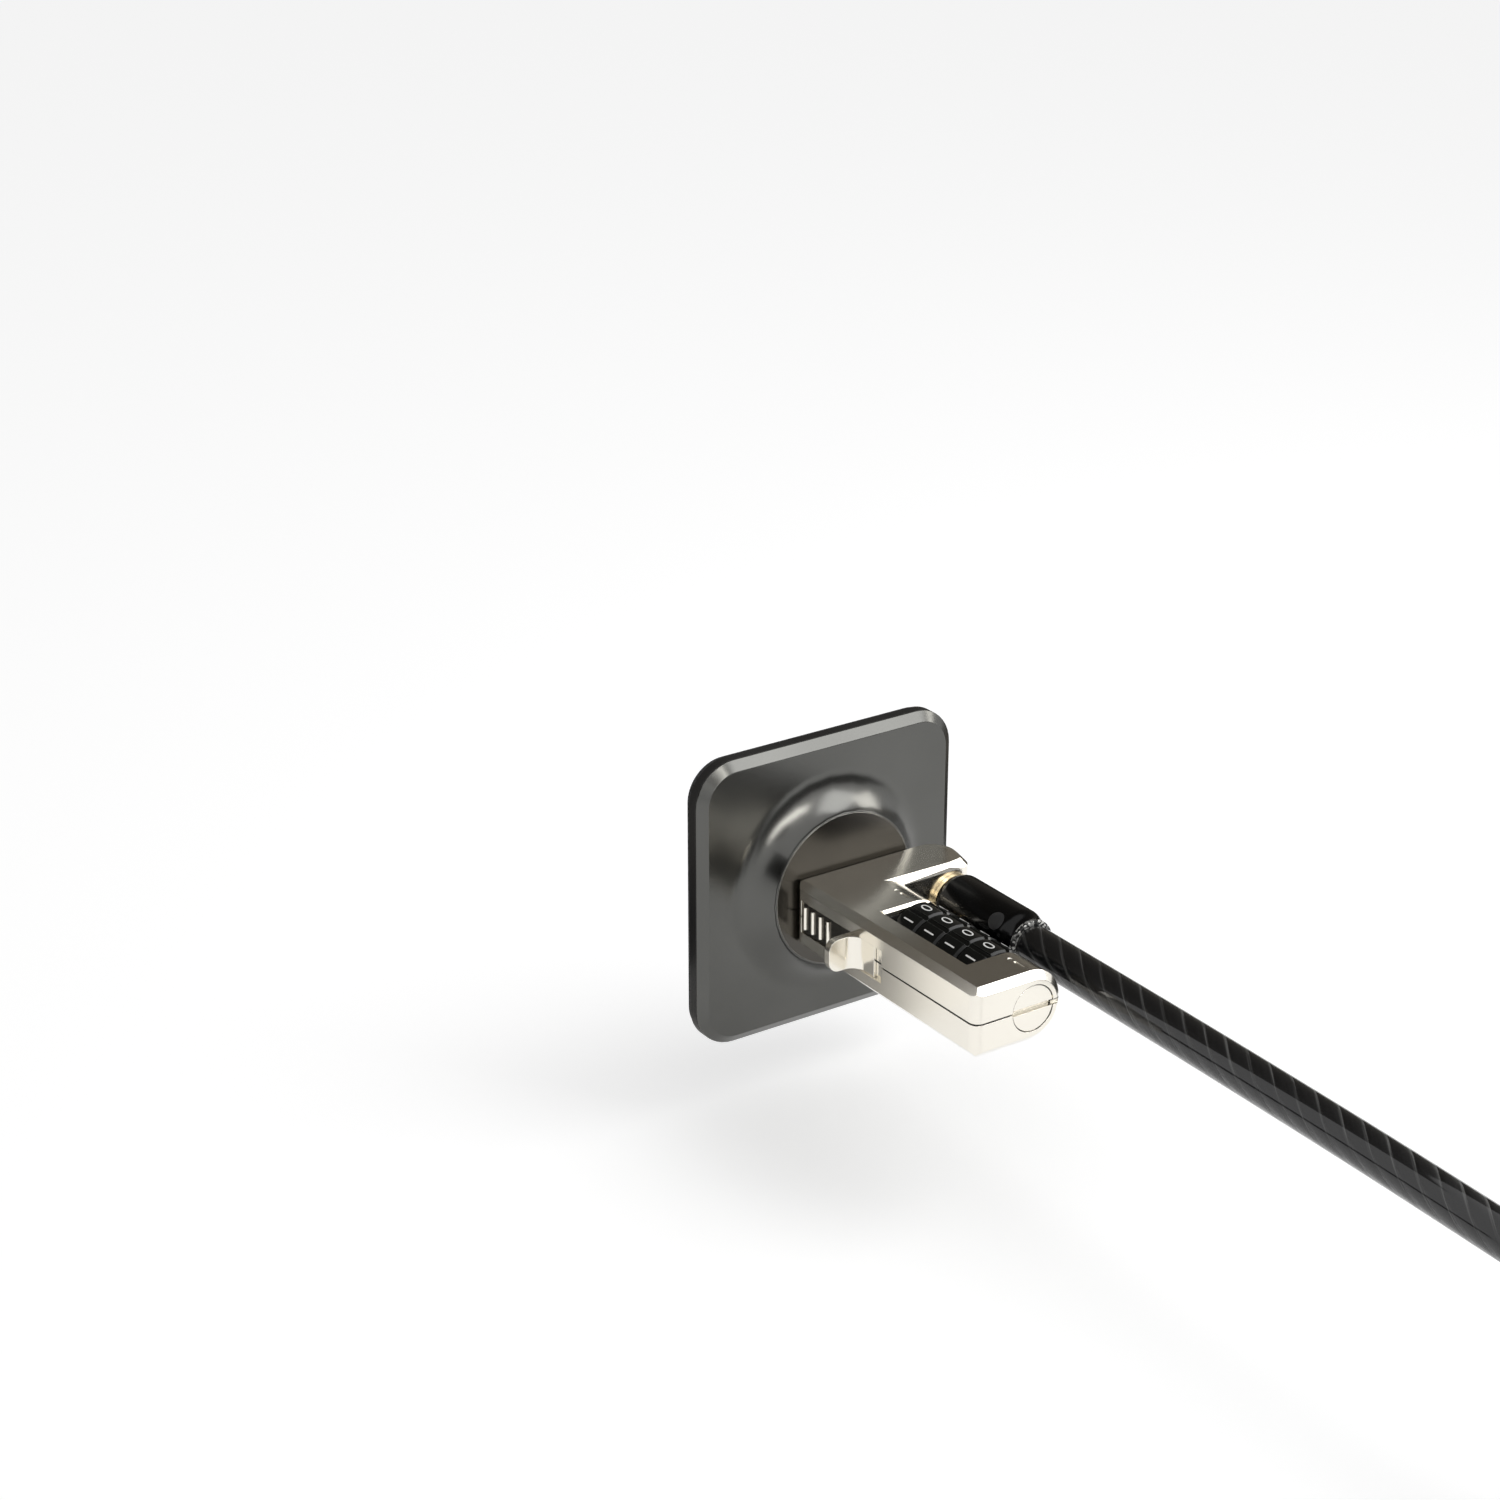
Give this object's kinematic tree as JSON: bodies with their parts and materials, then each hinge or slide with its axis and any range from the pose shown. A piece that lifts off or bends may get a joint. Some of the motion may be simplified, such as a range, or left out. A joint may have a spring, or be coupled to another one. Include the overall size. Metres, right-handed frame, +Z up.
{
  "type": "laptop cable lock",
  "caption": "Adhesive anchor plate with a flat combination lock head hooked into its slot, and a sheathed steel cable that ends in a loop.",
  "frame": {"origin": "centre of the adhesive face on the back of the anchor plate", "axes": "+Y points into the lid that the plate is glued to, +Z is up with the laptop open, +X is to the right seen from outside"},
  "size_m": [0.0619, 0.3039, 0.0623],
  "materials": {
    "pad_foam": "matt foam adhesive",
    "base_plastic": "fine matt",
    "plate_metal": "satin dark gunmetal",
    "slot_steel": "satin dark steel",
    "nickel": "satin warm nickel plate",
    "chassis_metal": "black die casting",
    "bare_steel": "machined",
    "spring_steel": "drawn wire",
    "dial_plastic": "gloss black",
    "brass": "turned",
    "sleeve_plastic": "gloss black moulded",
    "pin_grey": "dull grey",
    "cable_sheath": "smooth clear sheath over black strands",
    "ferrule_metal": "pressed satin",
    "strap": "woven hook and loop strap"
  },
  "bodies": {
    "root": {"adhesive_pad": "pad_foam", "plate_base": "base_plastic", "anchor_plate": "plate_metal", "slot_disc": "slot_steel", "upper_shell": "nickel", "lower_shell": "nickel", "lock_chassis": "chassis_metal", "shell_pins": "bare_steel", "locking_hook": "bare_steel", "dial_washer": "spring_steel", "reset_spring": "spring_steel", "slider_spring": "spring_steel", "cable_run": "cable_sheath", "cable_hank": "cable_sheath", "cable_tail": "cable_sheath", "loop_ferrule": "ferrule_metal", "cable_loop": "cable_sheath", "hank_tie": "strap"},
    "slider": {"thumb_slider": "nickel", "locking_bar": "bare_steel", "spindle": "bare_steel"},
    "dial_1": {"dial_1": "dial_plastic", "dial_hub_1": "brass"},
    "dial_2": {"dial_2": "dial_plastic", "dial_hub_2": "brass"},
    "dial_3": {"dial_3": "dial_plastic", "dial_hub_3": "brass"},
    "dial_4": {"dial_4": "dial_plastic", "dial_hub_4": "brass"},
    "reset": {"reset_screw": "nickel"},
    "swivel": {"swivel_stud": "brass", "stud_clip": "spring_steel", "cable_sleeve": "sleeve_plastic", "sleeve_pin": "pin_grey"}
  },
  "joints": [
    {"name": "slider_slide", "type": "slide", "parent": "root", "child": "slider", "axis": [0, -1, 0], "range_m": [0, 0.0022], "stiffness_N_per_m": 250, "springref_m": -0.003, "deforming": ["slider_spring"]},
    {"name": "dial_1_turn", "type": "hinge", "parent": "root", "child": "dial_1", "pos_m": [0.0014, -0.02903, -0.0017], "axis": [0, -1, 0], "continuous": true},
    {"name": "dial_2_turn", "type": "hinge", "parent": "root", "child": "dial_2", "pos_m": [0.0014, -0.03433, -0.0017], "axis": [0, -1, 0], "continuous": true},
    {"name": "dial_3_turn", "type": "hinge", "parent": "root", "child": "dial_3", "pos_m": [0.0014, -0.03963, -0.0017], "axis": [0, -1, 0], "continuous": true},
    {"name": "dial_4_turn", "type": "hinge", "parent": "root", "child": "dial_4", "pos_m": [0.0014, -0.04493, -0.0017], "axis": [0, -1, 0], "continuous": true},
    {"name": "reset_screw_turn", "type": "hinge", "parent": "root", "child": "reset", "pos_m": [0.0014, -0.053, -0.0017], "axis": [0, -1, 0], "range_deg": [0, 90]},
    {"name": "cable_swivel", "type": "hinge", "parent": "root", "child": "swivel", "pos_m": [0.0148, -0.03, -0.0017], "axis": [0, -1, 0], "continuous": true}
  ]
}
